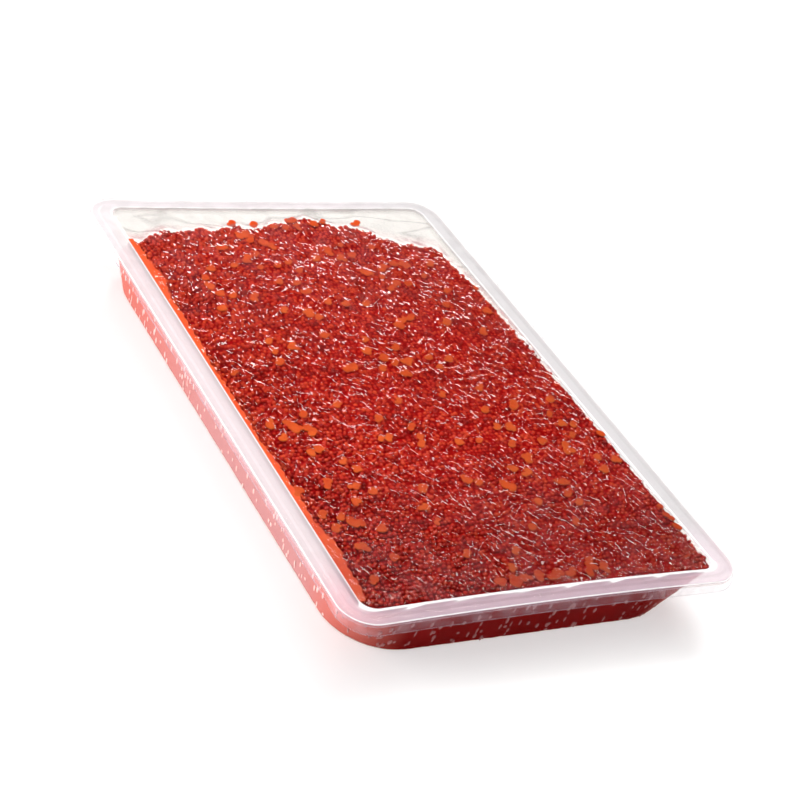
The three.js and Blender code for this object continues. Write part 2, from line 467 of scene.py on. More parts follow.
def tray_rows():
    """All rows of the section, and how many of them lie before the mouth."""
    under_rim = TRAY_TOP - WALL
    lip_top = TRAY_TOP - LIP_STEP
    rows = base_rows(0, BASE_FILLET, -WALL)[::-1]
    rows += [wall_row(under_rim * part, -WALL) for part in (0.3, 0.5, 0.7, 0.85)]
    for part, reach, drop in quarter(3, NECK_ROUND):
        rows.append(wall_row(under_rim - drop, -WALL - reach, LAND_WHITE * part**3))
    rows += rim_rows(under_rim, lip_top, lip_top - LIP_DEPTH)
    before_mouth = len(rows)
    rows += mouth_rows()
    rows += [wall_row(TRAY_TOP * part, 0) for part in (0.9, 0.7, 0.5, 0.3)]
    return rows + base_rows(WALL, BASE_FILLET - WALL, 0), before_mouth


tray_section, mouth_start = tray_rows()
print("rows in the tray's section:", len(tray_section))

# %% [markdown]
# Along the full end the mouth's edge catches the light in a thin broken line. It is painted glare:
# the two outer rows of the mouth are marked whitest there.

# %% Build the tray
GLARE_START = 92 * MM
GLARE_RISE = 3 * MM
GLARE_BREAKS = 2.7 * MM

tray_points, tray_faces, ring_size = stack_rings([row[:4] for row in tray_section])
tray = object_from("tray_shell", tray_points, tray_faces, crease=24)
# Whiteness of each point: the plastic's milkiness, and painted glare on its edges.
whitening = np.append(np.repeat([row[4] for row in tray_section], ring_size), [0.0, 0.0])
# Painted glare: a broken white line along the mouth at the full end.
for row in (mouth_start, mouth_start + 1):
    line = slice(row * ring_size, (row + 1) * ring_size)
    glare = np.clip((tray_points[line, 0] - GLARE_START) / GLARE_RISE, 0, 1)
    if row == mouth_start:
        glare *= 0.74 + 0.26 * np.sin(tray_points[line, 1] / GLARE_BREAKS)
    whitening[line] = np.maximum(whitening[line], glare)
mark(tray, whitening=whitening)
print("tray faces:", faces_of(tray))

# %% [markdown]
# ### A see-through plastic that lights well
#
# Real clear plastic bends light twice in a wall of half a millimetre, which can't be seen, but
# costs many samples. So the finish mixes a Transparent shader with a Principled one: the share of
# the second is the milkiness. A Glossy shader is added towards grazing angles by Fresnel, on outer
# faces alone, so light passes through to the pearls.

# %% The see-through finish
WHITE = (1.0, 1.0, 1.0)
NEAR_END = (70 * MM, 100 * MM)
RIGHT_SIDE = (20 * MM, 60 * MM)
# Painted shade: at the near end the milk keeps only this share, so the dark gel shows through.
NEAR_RIM_SHADED_SHARE = 0.62
# Painted glare: marks in this range turn the plastic's colour to pure white.
PAINTED_GLARE_RANGE = (0.85, 1.0)


def mark_on(tree, name):
    """A number that the mesh carries, in a material."""
    return add_node(tree, "ShaderNodeAttribute", {"attribute_name": name}).outputs["Fac"]


def whitened(tint, milk, strength, near_shade_tint=None, far_side_shade_tint=None):
    """Milkiness and colour of a plastic whiter where marked; painted glare and shade are added."""

    def body(tree):
        edge = mark_on(tree, "whitening")
        x = along(tree, "X")
        lift = spread(tree, x, *NEAR_END, strength, strength * NEAR_RIM_SHADED_SHARE)
        painted_glare = spread(tree, edge, *PAINTED_GLARE_RANGE, 0.0, strength)
        lift = maths(tree, "MAXIMUM", times(tree, edge, lift), painted_glare)
        low, high, size = milk
        share = spread(tree, cloud(tree, size, 3.0), 0.35, 0.65, low, high)
        right = spread(tree, along(tree, "Y"), *RIGHT_SIDE)
        colour = mix_colours(tree, right, tint, far_side_shade_tint or tint)
        colour = mix_colours(tree, spread(tree, x, *NEAR_END), colour, near_shade_tint or tint)
        colour = mix_colours(tree, painted_glare, colour, WHITE)
        return maths(tree, "MAXIMUM", share, lift), colour

    return body


def bumps(size, height, strength):
    def build(tree):
        node = add_node(
            tree, "ShaderNodeBump", Strength=strength, Distance=height, Height=cloud(tree, size)
        )
        return node.outputs[0]

    return build


def see_through(name, body, bump, roughness, glass, through=WHITE, gloss=WHITE, shine_share=None):
    """A film or thin wall. body gives how much the plastic itself shows, and its colour."""
    material, tree = new_material(name)
    share, colour = body(tree)
    shape = {"Normal": bump(tree), "Roughness": roughness}
    clear = add_node(tree, "ShaderNodeBsdfTransparent", Color=(*through, 1))
    milk = add_node(tree, "ShaderNodeBsdfPrincipled", Base_Color=colour, IOR=glass, **shape)
    mirror = add_node(tree, "ShaderNodeBsdfGlossy", Color=(*gloss, 1), **shape)
    veil = add_node(tree, "ShaderNodeMixShader", Fac=share)
    connect(tree, veil.inputs[1], clear.outputs[0])
    connect(tree, veil.inputs[2], milk.outputs[0])
    inner = add_node(tree, "ShaderNodeNewGeometry").outputs["Backfacing"]
    grazing = add_node(tree, "ShaderNodeFresnel", IOR=glass).outputs[0]
    reflected = times(tree, grazing, maths(tree, "SUBTRACT", 1.0, inner))
    if shine_share:
        reflected = times(tree, reflected, shine_share(tree))
    shine = add_node(tree, "ShaderNodeMixShader", Fac=reflected)
    connect(tree, shine.inputs[1], veil.outputs[0])
    connect(tree, shine.inputs[2], mirror.outputs[0])
    return finish(material, shine)


TRAY_MILK = (0.80, 0.75, 0.78)
# Painted shade: mauve milk at the near end, greyer milk on the far long side.
NEAR_SHADED_MILK = (0.83, 0.68, 0.78)
FAR_SIDE_SHADED_MILK = (0.70, 0.68, 0.70)
TRAY_THROUGH = (0.977, 0.961, 0.938)
tray_plastic = see_through(
    "milky_tray_plastic",
    whitened(TRAY_MILK, (0.0, 0.004, 14 * MM), 0.9, NEAR_SHADED_MILK, FAR_SIDE_SHADED_MILK),
    bumps(9 * MM, 0.6 * MM, 0.1),
    roughness=0.22,
    glass=1.06,
    through=TRAY_THROUGH,
)
tray.data.materials.append(tray_plastic)
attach(tray, BODY)
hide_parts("tray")

# %% [markdown]
# ## Where the pearls lie
#
# The pearls fill the tray up to the film, except where they have slumped away: from the empty
# short end, and a little from one long side. `slump` gives how far the surface lies below the film
# at any place. It is the same rule as the solid in the frame uses, with a small waviness added.

# %% The surface of the filling
FILL_TOP = TRAY_TOP - 0.05 * MM
FOOT_OF_SLOPE = 3 * MM
STRIP_SLOPE = 2.4
CREST_Y = np.array([-62, -40, -10, 9, 27, 43, 62]) * MM
CREST_GAP = np.array([20, 12.5, 10.5, 5.5, 11.5, 22, 28]) * MM
STRIP_X = np.array([-100, -70, -45, 0, 20, 100]) * MM
STRIP_GAP = np.array([9, 5, 2.2, 0.6, 0, 0]) * MM


def between(places, gaps, at):
    """A smooth value between stations."""
    index = np.clip(np.searchsorted(places, at) - 1, 0, len(places) - 2)
    part = np.clip((at - places[index]) / (places[index + 1] - places[index]), 0, 1)
    part = part * part * (3 - 2 * part)
    return gaps[index] * (1 - part) + gaps[index + 1] * part


def crest_gap(y):
    wobble = 0.7 * np.sin(y / (2.3 * MM)) + 0.5 * np.sin(y / (1.1 * MM) + 1.0)
    return between(CREST_Y, CREST_GAP, y) + wobble * MM


def slump(x, y):
    gap = crest_gap(y)
    from_end = x + RIM_HALF - RIM_END
    down_end = np.clip((gap - from_end) / gap, 0, 1)
    strip = between(STRIP_X, STRIP_GAP, x)
    down_side = np.clip(strip - (RIM_HALF_WIDTH - RIM_SIDE - y), 0, None)
    deepest = FILL_TOP - FOOT_OF_SLOPE
    return np.minimum(np.maximum(deepest * down_end**0.85, down_side * STRIP_SLOPE), deepest)


def grainy(x, y):
    """One where single pearls stand out, nought where liquid under the film hides them."""
    towards_left = np.clip((-15 * MM - y) / (25 * MM), 0, 1)
    towards_near = np.clip((x - 20 * MM) / (60 * MM), 0, 1)
    patchy = 0.25 * np.sin(x / (9 * MM) + 1.5 * np.sin(y / (13 * MM)))
    return np.clip(0.7 * towards_left + 0.6 * towards_near + patchy, 0, 1)


print("crest gap at the middle, in mm:", round(float(crest_gap(np.zeros(1))[0] / MM), 1))

# %% [markdown]
# ### A grid with rounded corners
#
# Film and filling are sheets with a rounded outline. A grid of squares is kept square inside, and
# its outer loops are bent round the corners, so that every loop is a smaller rounded rectangle.

# %% The rounded grid
def rounded(u, v, half_x, half_y, corner):
    """Moves points of a rectangle so that its loops get rounded corners."""
    x, y = np.abs(u), np.abs(v)
    inset = np.minimum(half_x - x, half_y - y)
    radius = np.maximum(corner - inset, 1e-9)
    a, b = half_x - inset, half_y - inset
    on_end = (half_x - x) <= (half_y - y)
    along_edge = np.where(on_end, b - y, a - x)
    turning = along_edge < radius
    share = np.clip(1 - along_edge / radius, 0, 1) * math.pi / 4
    angle = np.where(on_end, share, math.pi / 2 - share)
    new_x = np.where(turning, a - radius + radius * np.cos(angle), x)
    new_y = np.where(turning, b - radius + radius * np.sin(angle), y)
    return np.copysign(new_x, u), np.copysign(new_y, v)


def grid(half_x, half_y, step):
    """The places of a grid's points, and the number of its columns and rows."""
    columns, rows = (int(round(2 * half / step)) for half in (half_x, half_y))
    xs, ys = np.linspace(-half_x, half_x, columns + 1), np.linspace(-half_y, half_y, rows + 1)
    u, v = (part.ravel() for part in np.meshgrid(xs, ys, indexing="ij"))
    return u, v, columns, rows


def grid_faces(columns, rows, flip=False):
    i, j = np.meshgrid(np.arange(columns), np.arange(rows), indexing="ij")
    a = (i * (rows + 1) + j).ravel()
    b, c, d = a + rows + 1, a + rows + 2, a + 1
    return np.stack([a, d, c, b] if flip else [a, b, c, d], 1)


def border(columns, rows):
    """Point numbers round the grid, anticlockwise from its lowest corner."""
    stride = rows + 1
    south = [i * stride for i in range(columns)]
    east = [columns * stride + j for j in range(rows)]
    north = [i * stride + rows for i in range(columns, 0, -1)]
    west = list(range(rows, 0, -1))
    return np.array(south + east + north + west)


# %% [markdown]
# ## The core of the filling
#
# What shows through the walls and the base is one mass of pearls pressed against the plastic. Its
# outside lies just inside the thickness of the wall, so no gap shows between them. The pearls there
# are relief: a tree of Geometry Nodes sinks the surface between cells of about a pearl's size.

# %% Shape the core
INTO_WALL = 0.6 * MM
CORE_STEP = 0.8 * MM
CORE_SINK = 0.42 * MM
GRAINY_SINK = 0.5 * MM
WALL_ROWS = 24
CORE_FLOOR = WALL - INTO_WALL


def wall_points(u, v, z):
    """Points on the core's wall. u and v run from -1 to 1 round the outline."""
    side, end, corner = wall_line(z)
    rise = np.clip((z - CORE_FLOOR) / (BASE_FILLET - WALL), 0, 1)
    pull = (BASE_FILLET - WALL) * (1 - np.sqrt(1 - (1 - rise) ** 2))
    half_x = RIM_HALF - end + INTO_WALL - pull
    half_y = RIM_HALF_WIDTH - side + INTO_WALL - pull
    x, y = rounded(u * half_x, v * half_y, half_x, half_y, corner + INTO_WALL - pull)
    return bend_ends(np.column_stack([x, y, z]))


def build_core():
    side, end, corner = wall_line(TRAY_TOP)
    half_x, half_y = RIM_HALF - end + INTO_WALL, RIM_HALF_WIDTH - side + INTO_WALL
    u, v, columns, rows = grid(half_x, half_y, CORE_STEP)
    u, v = u / half_x, v / half_y
    x, y = rounded(u * half_x, v * half_y, half_x, half_y, corner)
    surface = FILL_TOP - slump(x, y) - CORE_SINK - GRAINY_SINK * grainy(x, y)
    top = wall_points(u, v, surface)
    loop = border(columns, rows)
    heights = top[loop, 2]
    walls = []
    for row in range(1, WALL_ROWS + 1):
        z = heights + (CORE_FLOOR - heights) * (row / WALL_ROWS)
        walls.append(wall_points(u[loop], v[loop], z))
    base = wall_points(u, v, np.full(len(u), CORE_FLOOR))
    base[loop] = walls.pop()
    base_start = len(top) + len(loop) * len(walls)
    levels = np.arange(len(top), base_start).reshape(len(walls), -1)
    levels = [loop, *levels, base_start + loop]
    faces = [grid_faces(columns, rows)]
    for upper, lower in zip(levels, levels[1:]):
        faces.append(np.roll(band(lower, upper), 1, axis=1))
    faces.append(grid_faces(columns, rows, flip=True) + base_start)
    return np.concatenate([top, *walls, base]), np.concatenate(faces)


core = object_from("caviar_core", *build_core())
print("core faces before relief:", faces_of(core))

# %% [markdown]
# ## Helpers for Geometry Nodes
#
# A tree is built in the script like a material. Its sizes are named inputs, set on the modifier by
# the socket's identifier. `grow` turns the result into a plain mesh, because the export drops live
# instances.

# %% Tree helpers
def new_tree(name, **inputs):
    """A tree with named inputs. A number is the input's default, and a word is its kind."""
    tree = bpy.data.node_groups.new(name, "GeometryNodeTree")
    tree.interface.new_socket("Geometry", in_out="INPUT", socket_type="NodeSocketGeometry")
    for label, value in inputs.items():
        kind = value if isinstance(value, str) else type(value).__name__.capitalize()
        socket = tree.interface.new_socket(
            label.replace("_", " "), in_out="INPUT", socket_type="NodeSocket" + kind
        )
        if kind != value:
            socket.default_value = value
    tree.interface.new_socket("Geometry", in_out="OUTPUT", socket_type="NodeSocketGeometry")
    start = tree.nodes.new("NodeGroupInput")
    end = tree.nodes.new("NodeGroupOutput")
    return tree, start.outputs, end.inputs[0]


def end_tree(tree, inputs, output, geometry):
    """Ends a tree with real geometry, painted with the material that is its Skin."""
    realized = add_node(tree, "GeometryNodeRealizeInstances", Geometry=geometry)
    painted = add_node(
        tree, "GeometryNodeSetMaterial", Geometry=realized.outputs[0], Material=inputs["Skin"]
    )
    connect(tree, output, painted.outputs[0])
    return tree


def grow(thing, tree, **values):
    """Runs a tree on an object, with its named inputs, and keeps the result as a plain mesh."""
    modifier = thing.modifiers.new(tree.name, "NODES")
    modifier.node_group = tree
    for item in tree.interface.items_tree:
        key = item.name.replace(" ", "_").lower()
        if item.in_out == "INPUT" and key in values:
            modifier[item.identifier] = values[key]
    shaped = thing.evaluated_get(bpy.context.evaluated_depsgraph_get())
    mesh = bpy.data.meshes.new_from_object(shaped)
    thing.modifiers.clear()
    thing.data = mesh


def vector(tree, **parts):
    return add_node(tree, "ShaderNodeCombineXYZ", **parts).outputs[0]


def position(tree):
    return add_node(tree, "GeometryNodeInputPosition").outputs[0]


def normal_of(tree):
    return add_node(tree, "GeometryNodeInputNormal").outputs[0]


def scaled(tree, direction, by):
    settings = {"operation": "SCALE"}
    return add_node(tree, "ShaderNodeVectorMath", settings, Vector=direction, Scale=by).outputs[0]


def moved(tree, geometry, offset):
    node = add_node(tree, "GeometryNodeSetPosition", Geometry=geometry, Offset=offset)
    return node.outputs[0]


def marked(tree, name):
    """A number that the mesh carries, in a tree."""
    settings = {"data_type": "FLOAT"}
    return add_node(tree, "GeometryNodeInputNamedAttribute", settings, Name=name).outputs[0]


def chance(tree, low, high, seed=0):
    node = add_node(tree, "FunctionNodeRandomValue", {"data_type": "FLOAT"}, Seed=seed)
    node.inputs[2].default_value = low
    node.inputs[3].default_value = high
    return node.outputs[1]


def small_ball(tree, segments, rings, radius):
    ball = add_node(
        tree, "GeometryNodeMeshUVSphere", Segments=segments, Rings=rings, Radius=radius
    )
    soft = add_node(tree, "GeometryNodeSetShadeSmooth", Geometry=ball.outputs["Mesh"])
    return soft.outputs[0]


# %% A tree that presses pearls into a surface as relief
SINK_SHAPE = -2.2


def relief_tree():
    tree, inputs, output = new_tree(
        "pearl_relief", Pearl_Size=1.9 * MM, Depth=0.3 * MM, Pressed_Share=0.2, Skin="Material"
    )
    cells = add_node(tree, "ShaderNodeTexVoronoi", Vector=position(tree), Randomness=0.8)
    connect(tree, cells.inputs["Scale"], maths(tree, "DIVIDE", 1.0, inputs["Pearl Size"]))
    away = cells.outputs["Distance"]
    sink = times(tree, times(tree, away, away), SINK_SHAPE)
    upwards = add_node(tree, "ShaderNodeSeparateXYZ", Vector=normal_of(tree)).outputs["Z"]
    free = spread(tree, upwards, 0.2, 0.8, inputs["Pressed Share"], 1.0)
    sink = times(tree, sink, inputs["Depth"], free)
    pushed = moved(tree, inputs["Geometry"], scaled(tree, normal_of(tree), sink))
    return end_tree(tree, inputs, output, pushed)


# %% [markdown]
# ### The finish of the pearls
#
# Seaweed pearls are balls of red gel: deep red where they lie in shade, brighter and more orange
# where light comes through them. Two clouds of noise vary the red at random. On top of that the red
# darkens towards the full end and the far long side, as painted shade, and lightens towards the far
# end, as painted light. Along the near long side, where light enters through the milky plastic, a
# painted glow turns the pearls orange, and the core behind the wall a pale salmon.

# %% Reds of the gel
DEEP_RED = (0.20, 0.002, 0.0015)
MID_RED = (0.50, 0.013, 0.006)
FRESH_RED = (0.64, 0.028, 0.012)
LIGHT_RED = (0.77, 0.062, 0.02)
# Painted glow of light shone in through the wall: orange pearls, salmon and pale core wall.
PAINTED_GLOW_ORANGE = (0.88, 0.14, 0.03)
WALL_GLOW_SALMON = (0.64, 0.165, 0.135)
WALL_GLOW_PALE = (0.59, 0.275, 0.283)
GLOW_WIDTH = 4.5 * MM
RAGGED = 9 * MM
MOUTH_SIDE = float(RIM_HALF_WIDTH - RIM_SIDE)

# Where a change starts and ends, and its share there
PATCHY = (0.35, 0.65, 0.0, 0.55)
FINE = (0.3, 0.7, 0.0, 0.45)
# Painted shade: the red darkens along the tray and across it.
PAINTED_SHADE_ALONG = (25 * MM, 95 * MM, 0.0, 0.55)
PAINTED_SHADE_ACROSS = (-45 * MM, 45 * MM, 0.0, 0.24)
# Painted light: the red lightens towards the far end.
PAINTED_LIGHT_ALONG = (-85 * MM, 0.0)
PAINTED_LIGHT_SHARE = 0.25
PALE_FROM_FAR = (-90 * MM, 10 * MM)
PALE_TO_NEAR = (58 * MM, 86 * MM, 1.0, 0.0)
NOT_UPWARDS = (0.25, 0.6, 1.0, 0.0)
NOT_ON_TOP = (18.6 * MM, 19.4 * MM, 1.0, 0.0)
EDGE_FADE = (-75 * MM, -15 * MM, 1.0, 0.25)


def gel(name, dark, light, glow, glow_width=GLOW_WIDTH, ragged=RAGGED, wall=False,
        roughness=0.15, gloss=0.4):
    material, tree = new_material(name)
    patchy = spread(tree, cloud(tree, 9 * MM, 3.0), *PATCHY)
    fine = spread(tree, cloud(tree, 1.6 * MM, 1.0), *FINE)
    red = mix_colours(tree, maths(tree, "ADD", patchy, fine), dark, light)
    x, y = along(tree, "X"), along(tree, "Y")
    # Painted shade, then painted light, by place.
    red = mix_colours(tree, spread(tree, x, *PAINTED_SHADE_ALONG), red, DEEP_RED)
    red = mix_colours(tree, spread(tree, y, *PAINTED_SHADE_ACROSS), red, DEEP_RED)
    painted_light = spread(tree, x, *PAINTED_LIGHT_ALONG, 0.0 if wall else PAINTED_LIGHT_SHARE, 0.0)
    red = mix_colours(tree, painted_light, red, LIGHT_RED)
    if wall:
        y = times(tree, maths(tree, "ABSOLUTE", y), -1.0)
    # Painted glow along the near long side, with a ragged edge; on the core only on its walls.
    drift = times(tree, maths(tree, "SUBTRACT", cloud(tree, 5 * MM, 3.0), 0.5), ragged)
    y = maths(tree, "ADD", y, drift)
    painted_glow = spread(tree, y, -MOUTH_SIDE, -MOUTH_SIDE + glow_width, glow, 0.0)
    if wall:
        pale = times(tree, spread(tree, x, *PALE_FROM_FAR), spread(tree, x, *PALE_TO_NEAR))
        glow_colour = mix_colours(tree, pale, WALL_GLOW_SALMON, WALL_GLOW_PALE)
        normal = add_node(tree, "ShaderNodeNewGeometry").outputs["Normal"]
        upwards = add_node(tree, "ShaderNodeSeparateXYZ", Vector=normal).outputs["Z"]
        below = spread(tree, along(tree, "Z"), *NOT_ON_TOP)
        painted_glow = times(tree, painted_glow, spread(tree, upwards, *NOT_UPWARDS), below)
    else:
        glow_colour = PAINTED_GLOW_ORANGE
        painted_glow = times(tree, painted_glow, spread(tree, x, *EDGE_FADE))
    shader = add_node(
        tree,
        "ShaderNodeBsdfPrincipled",
        Base_Color=mix_colours(tree, painted_glow, red, glow_colour),
        Roughness=roughness,
        IOR=1.38,
        Specular_IOR_Level=gloss,
    )
    return finish(material, shader)


# Partly painted shade: the core's reds are darker than the pearls', to darken the gaps between.
core_gel = gel(
    "core_gel",
    (0.20, 0.001, 0.001),
    (0.36, 0.003, 0.003),
    1.0,
    glow_width=20 * MM,
    ragged=4 * MM,
    wall=True,
    gloss=0.0,
)
grow(core, relief_tree(), pearl_size=1.9 * MM, depth=0.45 * MM, skin=core_gel)
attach(core, BODY)
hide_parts("caviar")
print("core faces:", faces_of(core))

# %% [markdown]
# ## The pearls on top
#
# The top layer is real pearls. A tree first scatters places over the filling's surface so that no
# two are closer than a little under a pearl's size: gel pearls squeeze together. Because it works
# on the surface itself, the slopes get as many as the flat part. The places are kept as points.

# %% A tree that finds places for the pearls
PEARL_RADIUS = 0.77 * MM
PEARL_SPACING = 1.13 * MM
PEARL_UNEVEN = 0.42 * MM
WALL_CLEARANCE = 0.7 * MM
SURFACE_STEP = 1.5 * MM
TRIES = 3e6


def inside_mouth(x, y, margin, z=TRAY_TOP):
    side, end, corner = wall_line(z)
    a, b = RIM_HALF - end - margin, RIM_HALF_WIDTH - side - margin
    radius = corner - margin
    beyond_x = np.maximum(np.abs(x) - a + radius, 0)
    beyond_y = np.maximum(np.abs(y) - b + radius, 0)
    return np.hypot(beyond_x, beyond_y) < radius


def places_tree():
    tree, inputs, output = new_tree("find_places", Spacing=1.5 * MM, Tries=TRIES, Seed=SEED)
    spread_out = add_node(
        tree,
        "GeometryNodeDistributePointsOnFaces",
        {"distribute_method": "POISSON"},
        Mesh=inputs["Geometry"],
        Distance_Min=inputs["Spacing"],
        Density_Max=inputs["Tries"],
        Seed=inputs["Seed"],
    )
    points = add_node(tree, "GeometryNodePointsToVertices", Points=spread_out.outputs["Points"])
    realized = add_node(tree, "GeometryNodeRealizeInstances", Geometry=points.outputs[0])
    connect(tree, output, realized.outputs[0])
    return tree


def places_on(points, faces):
    """Scattered places on a surface, as an array of points."""
    helper = object_from("places", points, faces)
    grow(helper, places_tree(), spacing=PEARL_SPACING, tries=TRIES, seed=SEED)
    found = np.empty(len(helper.data.vertices) * 3)
    helper.data.vertices.foreach_get("co", found)
    bpy.data.objects.remove(helper)
    return found.reshape(-1, 3)


def pearl_places():
    side, end, corner = wall_line(TRAY_TOP)
    half_x, half_y = RIM_HALF - end, RIM_HALF_WIDTH - side
    u, v, columns, rows = grid(half_x, half_y, SURFACE_STEP)
    x, y = rounded(u, v, half_x, half_y, corner)
    surface = np.column_stack([x, y, FILL_TOP - slump(x, y)])
    spots = places_on(surface, grid_faces(columns, rows))
    spots = spots[inside_mouth(spots[:, 0], spots[:, 1], WALL_CLEARANCE, spots[:, 2])]
    drop = slump(spots[:, 0], spots[:, 1])
    uneven = random.uniform(0, PEARL_UNEVEN, len(spots))
    spots[:, 2] = FILL_TOP - drop - 0.8 * PEARL_RADIUS - uneven
    return bend_ends(spots), drop


pearl_spots, pearl_drop = pearl_places()
print("pearls on top:", len(pearl_spots))

# %% A tree that sets one ball on each place
def ball_tree(name, segments, rings):
    tree, inputs, output = new_tree(
        name, Radius=1.0 * MM, Flatness=0.82, Seed=SEED, Skin="Material"
    )
    wide = marked(tree, "size")
    long = times(tree, wide, marked(tree, "length"))
    high = times(tree, wide, inputs["Flatness"])
    spin = chance(tree, 0.0, 2 * math.pi, inputs["Seed"])
    placed = add_node(
        tree,
        "GeometryNodeInstanceOnPoints",
        Points=inputs["Geometry"],
        Instance=small_ball(tree, segments, rings, inputs["Radius"]),
        Rotation=vector(tree, Z=spin),
        Scale=vector(tree, X=long, Y=wide, Z=high),
    )
    return end_tree(tree, inputs, output, placed.outputs[0])


def points_object(name, places, sizes, lengths):
    thing = object_from(name, places, [])
    mark(thing, size=sizes, length=lengths)
    return thing


# %% Scatter the pearls by kind
KINDS = {
    "deep": (0.33, gel("deep_pearl_gel", DEEP_RED, MID_RED, 0.8)),
    "red": (0.34, gel("red_pearl_gel", MID_RED, FRESH_RED, 1.0)),
    "fresh": (0.33, gel("fresh_pearl_gel", MID_RED, LIGHT_RED, 1.0)),
}
pearl_tree = ball_tree("scatter_pearls", 8, 4)
draw = random.uniform(0, 1, len(pearl_spots))
passed = 0.0
for kind, (share, skin) in KINDS.items():
    chosen = (draw >= passed) & (draw < passed + share)
    passed += share
    count = int(chosen.sum())
    sizes = random.uniform(0.68, 1.12, count)
    lengths = random.uniform(1.0, 1.25, count)
    pearls = points_object("pearls_" + kind, pearl_spots[chosen], sizes, lengths)
    grow(pearls, pearl_tree, radius=PEARL_RADIUS, flatness=0.8, seed=SEED, skin=skin)
    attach(pearls, BODY)
    print(kind, "pearls:", count, "faces:", faces_of(pearls))

# %% [markdown]
# ## Pearls pressed flat on the film
#
# Some pearls stick to the film and are pressed flat by it. They show as bright orange patches, one
# to a few pearls large: many along the left edge and near the crest, a few clusters elsewhere. A
# few stray pearls cling to the film over the empty end.

# %% Places of the patches
PATCH_COUNT = 45
PATCH_TOP = TRAY_TOP + 0.04 * MM
PATCH_FLATNESS = 0.3
PATCH_RADIUS = 1.22 * MM
PATCH_CUT = 0.45
IMAGE_SIZE = 800

# Places measured in the photograph, in its pixels, and how many pearls lie together there
NOTED_PATCHES = """
211,267,1 205,277,1 211,286,2 233,294,1 254,295,2 247,256,1 234,264,1 260,266,1 277,264,1
288,261,2 299,269,1 296,282,1 308,290,2 284,309,1 310,313,3 316,257,1 328,250,3 340,256,2
352,254,2 371,246,1 383,266,2 393,262,1 367,272,3 391,287,2 328,300,1 346,302,1 366,302,1
382,276,1 411,316,3 398,323,1 408,283,1 424,275,1 430,263,1 406,265,1 447,290,1 446,303,1
483,329,2 447,321,1 396,346,1 384,357,1 395,362,1 383,367,1 429,356,1 449,358,1 440,366,1
405,372,2 480,387,1 443,394,1 514,406,4 486,409,1 550,414,1 412,427,1 498,427,3 510,428,3
574,424,1 573,435,1 566,445,1 513,444,1 530,457,3 515,470,2 507,486,2 470,482,3 480,484,1
565,483,3 582,463,1 606,469,2 615,459,2 540,503,1 581,503,1 578,523,1 469,556,1 518,553,1
460,443,1 480,441,1 269,340,1 292,345,2 275,351,1 280,361,1 365,339,1 367,350,1 354,366,6
324,334,1 234,372,1 290,424,7 271,424,2 284,437,1 379,419,1 421,437,1 312,452,1 344,461,1
328,482,1 357,487,2 374,492,1 424,489,1 357,503,1 342,517,1 323,515,1 357,524,3 383,529,1
337,528,1 364,547,3 439,523,1 299,491,2 604,432,2 665,508,3 672,517,3 680,527,2 516,582,4
505,585,2 528,581,3 543,579,3 575,574,3 592,572,3 606,569,2 558,577,4 240,234,4 250,238,5
261,240,4 270,244,2
"""
STRAYS = "231,222,1 253,223,1 292,219,3 296,224,2 312,222,2 322,220,1 356,222,2 273,225,1 285,226,1"


def seen_at(across, down):
    """Turns a place in the photograph into one on the film's plane."""
    slope = SENSOR_MM / LENS_MM / IMAGE_SIZE
    ray = CAMERA_RIGHT * (across - IMAGE_SIZE / 2) * slope
    ray -= CAMERA_UP * (down - IMAGE_SIZE / 2) * slope
    ray -= camera_back
    hit = CAMERA_PLACE + ray * ((TRAY_TOP - CAMERA_PLACE.z) / ray.z)
    return hit.x, hit.y


def cluster(x, y, count):
    """A tight group of pressed pearls round a place, drawn out across the tray."""
    reach = random.uniform(0.5, 0.9) * MM
    places = [(x + 0.79 * reach, y - 0.61 * reach), (x - 0.79 * reach, y + 0.61 * reach)]
    while len(places) <= count:
        near_x, near_y = places[random.randint(len(places))]
        angle = random.uniform(0, 2 * math.pi)
        step = random.uniform(1.1, 1.7) * MM
        places.append((near_x + step * math.cos(angle), near_y + step * math.sin(angle)))
    return places


def noted_places(text):
    places = []
    for item in text.split():
        across, down, count = (int(part) for part in item.split(","))
        places += cluster(*seen_at(across, down), count)
    return places


patch_list = noted_places(NOTED_PATCHES)
for _ in range(PATCH_COUNT):
    patch_x = random.uniform(-95, 96) * MM
    patch_y = random.uniform(-58, 58) * MM
    patch_list += cluster(patch_x, patch_y, 1 + random.binomial(2, 0.2))
patch_spots = np.array(patch_list)
full = slump(patch_spots[:, 0], patch_spots[:, 1]) < 0.4 * MM
patch_spots = patch_spots[full & inside_mouth(patch_spots[:, 0], patch_spots[:, 1], 1.3 * MM)]
patch_spots = np.concatenate([patch_spots, noted_places(STRAYS)])
patch_spots = bend_ends(np.column_stack([patch_spots, np.full(len(patch_spots), TRAY_TOP)]))
patch_sizes = random.uniform(0.7, 1.2, len(patch_spots))
patch_spots[:, 2] = PATCH_TOP - PATCH_CUT * PATCH_FLATNESS * patch_sizes * PATCH_RADIUS
patch_spots[:, 2] += random.uniform(-0.015, 0.015, len(patch_spots)) * MM
patch_lengths = random.uniform(1.0, 1.35, len(patch_spots))
patches = points_object("pressed_pearls", patch_spots, patch_sizes, patch_lengths)

# %% [markdown]
# Each patch is a flat ball, cut off level with the film's underside. The cuts differ by a hair in
# height, so that no two overlapping patches share a plane.

# %% Build the patches
LEVELS = 50
LEVEL_STEP = 0.0002 * MM

